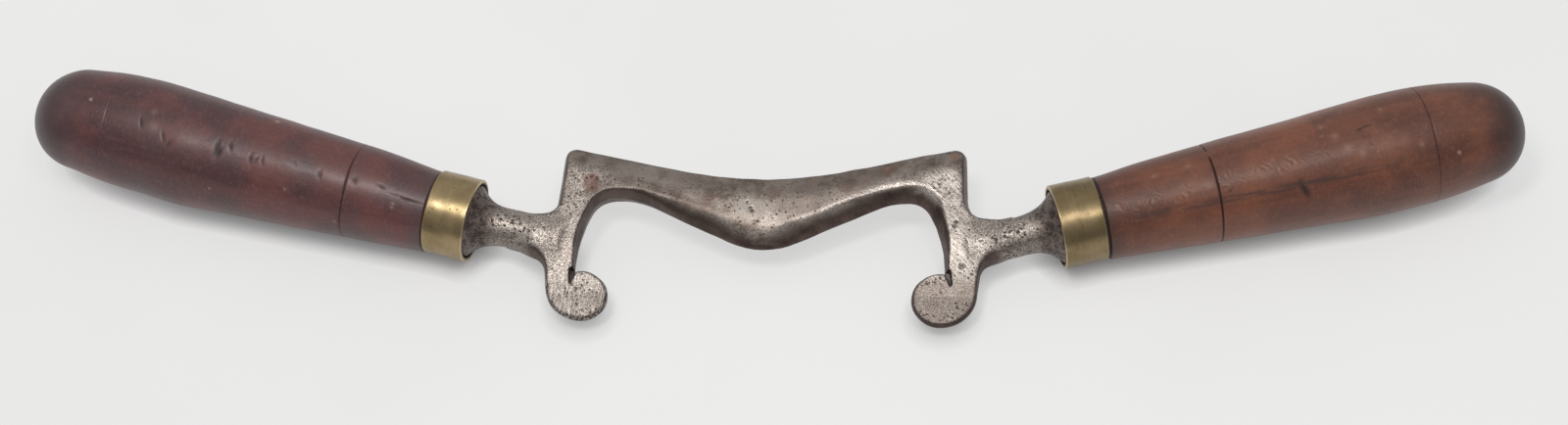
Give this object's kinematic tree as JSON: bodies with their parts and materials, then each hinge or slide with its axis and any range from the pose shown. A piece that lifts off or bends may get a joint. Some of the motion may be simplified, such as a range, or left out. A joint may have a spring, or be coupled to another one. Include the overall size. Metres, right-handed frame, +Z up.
{
  "type": "drawknife",
  "caption": "Forged steel bar with a hollow thin edge, a rounded belly and scrolled arms, held between brass-ferruled, turned hardwood grips that splay back from the edge.",
  "frame": {"origin": "on the bench under the tool, on the blade frame's mirror plane, midway between the tool's nearest and farthest reach", "axes": "+X along the tool to the right grip, +Y from the scrolls towards the hollow edge, +Z up from the bench; the tool stands on the bellies of its grips and the front rims of its ferrules, so its own plane is pitched up by 12.47 degrees towards +Y"},
  "size_m": [0.4335, 0.074, 0.035],
  "materials": {
    "steel": "worn forged steel, brown-grey patina with pits and file marks",
    "brass": "aged satin brass",
    "dark_wood": "dark red-brown hardwood, worn polish with small dents",
    "red_wood": "red-brown hardwood, worn polish with dark streaks"
  },
  "bodies": {
    "root": {"blade_frame": "steel", "left_ferrule": "brass", "right_ferrule": "brass", "left_grip": "dark_wood", "right_grip": "red_wood"}
  },
  "joints": []
}
